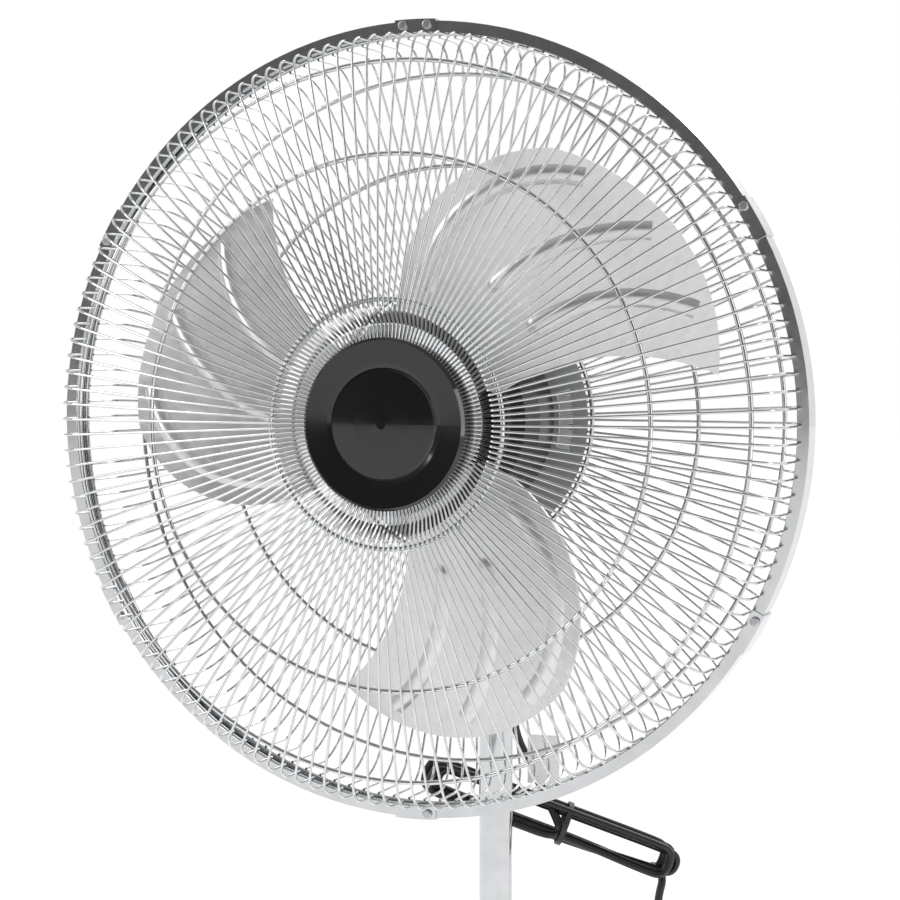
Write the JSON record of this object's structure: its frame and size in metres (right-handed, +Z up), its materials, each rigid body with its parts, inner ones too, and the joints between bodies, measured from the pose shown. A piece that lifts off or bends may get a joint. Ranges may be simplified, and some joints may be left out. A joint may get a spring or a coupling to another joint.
{
  "type": "pedestal fan",
  "caption": "Oscillating pedestal fan: round base, telescopic column, tilting motor head, riveted metal blades in a wire guard, and a mains cord.",
  "frame": {"origin": "on the floor under the column axis", "axes": "+Z up the column, -Y the way the fan blows, +X to the right seen from the front"},
  "size_m": [0.55, 0.47, 1.4262],
  "materials": {
    "chrome": "polished",
    "black_paint": "satin",
    "cast_iron": "matte",
    "black_plastic": "satin",
    "gloss_black": "gloss",
    "nylon": "satin",
    "aluminium": "satin",
    "steel": "satin",
    "grey_paint": "satin",
    "copper": "satin",
    "bronze": "satin",
    "rubber": "matte",
    "cord": "satin",
    "label": "matte"
  },
  "bodies": {
    "base": {"base_weight": "cast_iron", "base_cover": "black_paint", "rubber_feet": "rubber", "pole_socket": "chrome", "base_bolt": "steel", "lower_tube": "chrome", "height_collar": "chrome", "collar_bush": "nylon"},
    "height_clamp": {"height_knob": "black_plastic"},
    "column": {"upper_tube": "chrome", "tube_glide": "nylon", "tilt_yoke": "black_paint", "box_clamp": "steel", "control_box_front": "black_plastic", "control_box_rear": "black_plastic", "control_box_screws": "steel", "speed_switch": "nylon", "capacitor": "black_plastic", "cord_grommet": "rubber", "cord_lead": "cord", "cord_hank": "cord", "cord_tie": "black_plastic", "cord_label": "label", "mains_plug": "black_plastic"},
    "speed_dial": {"speed_knob": "black_plastic"},
    "neck": {"tilt_neck": "black_paint", "swivel_bush": "bronze", "link_pin": "steel"},
    "tilt_clamp": {"tilt_knob": "black_plastic"},
    "head": {"motor_shell_front": "black_paint", "motor_shell_rear": "black_paint", "stator_core": "steel", "stator_windings": "copper", "front_bearing": "bronze", "rear_bearing": "bronze", "guard_plate": "grey_paint", "rear_guard": "chrome", "rear_rings": "chrome", "front_guard": "chrome", "front_rings": "chrome", "guard_rim": "chrome", "guard_clips": "chrome", "clip_screws": "steel", "front_cap": "gloss_black", "cap_plate": "steel", "gearbox_case": "black_paint", "gearbox_cover": "black_paint", "head_screws": "steel"},
    "rotor": {"motor_shaft": "steel", "rotor_core": "steel", "blade_spider": "aluminium", "blade_1": "aluminium", "blade_2": "aluminium", "blade_3": "aluminium", "blade_rivets": "aluminium", "hub_set_screw": "steel"},
    "worm_gear": {"worm_wheel": "nylon"},
    "crank": {"crank_gear": "nylon"},
    "link": {"link_arm": "steel"},
    "osc_plunger": {"oscillation_knob": "black_plastic"}
  },
  "joints": [
    {"name": "height_slide", "type": "slide", "parent": "base", "child": "column", "axis": [0, 0, 1], "range_m": [-0.2, 0.15]},
    {"name": "height_knob_turn", "type": "hinge", "parent": "base", "child": "height_clamp", "pos_m": [0, 0, 0.587], "axis": [-1, 0, 0], "range_deg": [0, 360]},
    {"name": "speed_dial_turn", "type": "hinge", "parent": "column", "child": "speed_dial", "pos_m": [0, 0.075, 0.976], "axis": [0, 1, 0], "range_deg": [0, 135]},
    {"name": "tilt", "type": "hinge", "parent": "column", "child": "neck", "pos_m": [0, 0, 1.052], "axis": [-1, 0, 0], "range_deg": [-10, 25]},
    {"name": "tilt_knob_turn", "type": "hinge", "parent": "column", "child": "tilt_clamp", "pos_m": [0, 0, 1.052], "axis": [1, 0, 0], "range_deg": [0, 360]},
    {"name": "oscillation", "type": "hinge", "parent": "neck", "child": "head", "pos_m": [0, 0, 1.096], "axis": [0, 0, 1], "range_deg": [-40, 40]},
    {"name": "link_swing", "type": "hinge", "parent": "neck", "child": "link", "pos_m": [-0.026, 0, 1.098], "axis": [0, 0, 1], "range_deg": [-40, 40]},
    {"name": "blade_spin", "type": "hinge", "parent": "head", "child": "rotor", "pos_m": [0, -0.163, 1.15], "axis": [0, -1, 0], "continuous": true},
    {"name": "worm_wheel_turn", "type": "hinge", "parent": "head", "child": "worm_gear", "pos_m": [-0.0214, 0.014, 1.15], "axis": [0, 0, 1], "continuous": true},
    {"name": "crank_turn", "type": "hinge", "parent": "head", "child": "crank", "pos_m": [0, 0.038, 1.115], "axis": [0, 0, 1], "continuous": true},
    {"name": "oscillation_knob_pull", "type": "slide", "parent": "head", "child": "osc_plunger", "axis": [0, 0, 1], "range_m": [0, 0.008]}
  ],
  "couplings": [
    {"joint": "link_swing", "follows": "oscillation", "ratio": 1},
    {"joint": "worm_wheel_turn", "follows": "blade_spin", "ratio": 0.033333},
    {"joint": "crank_turn", "follows": "blade_spin", "ratio": -0.0066667}
  ]
}
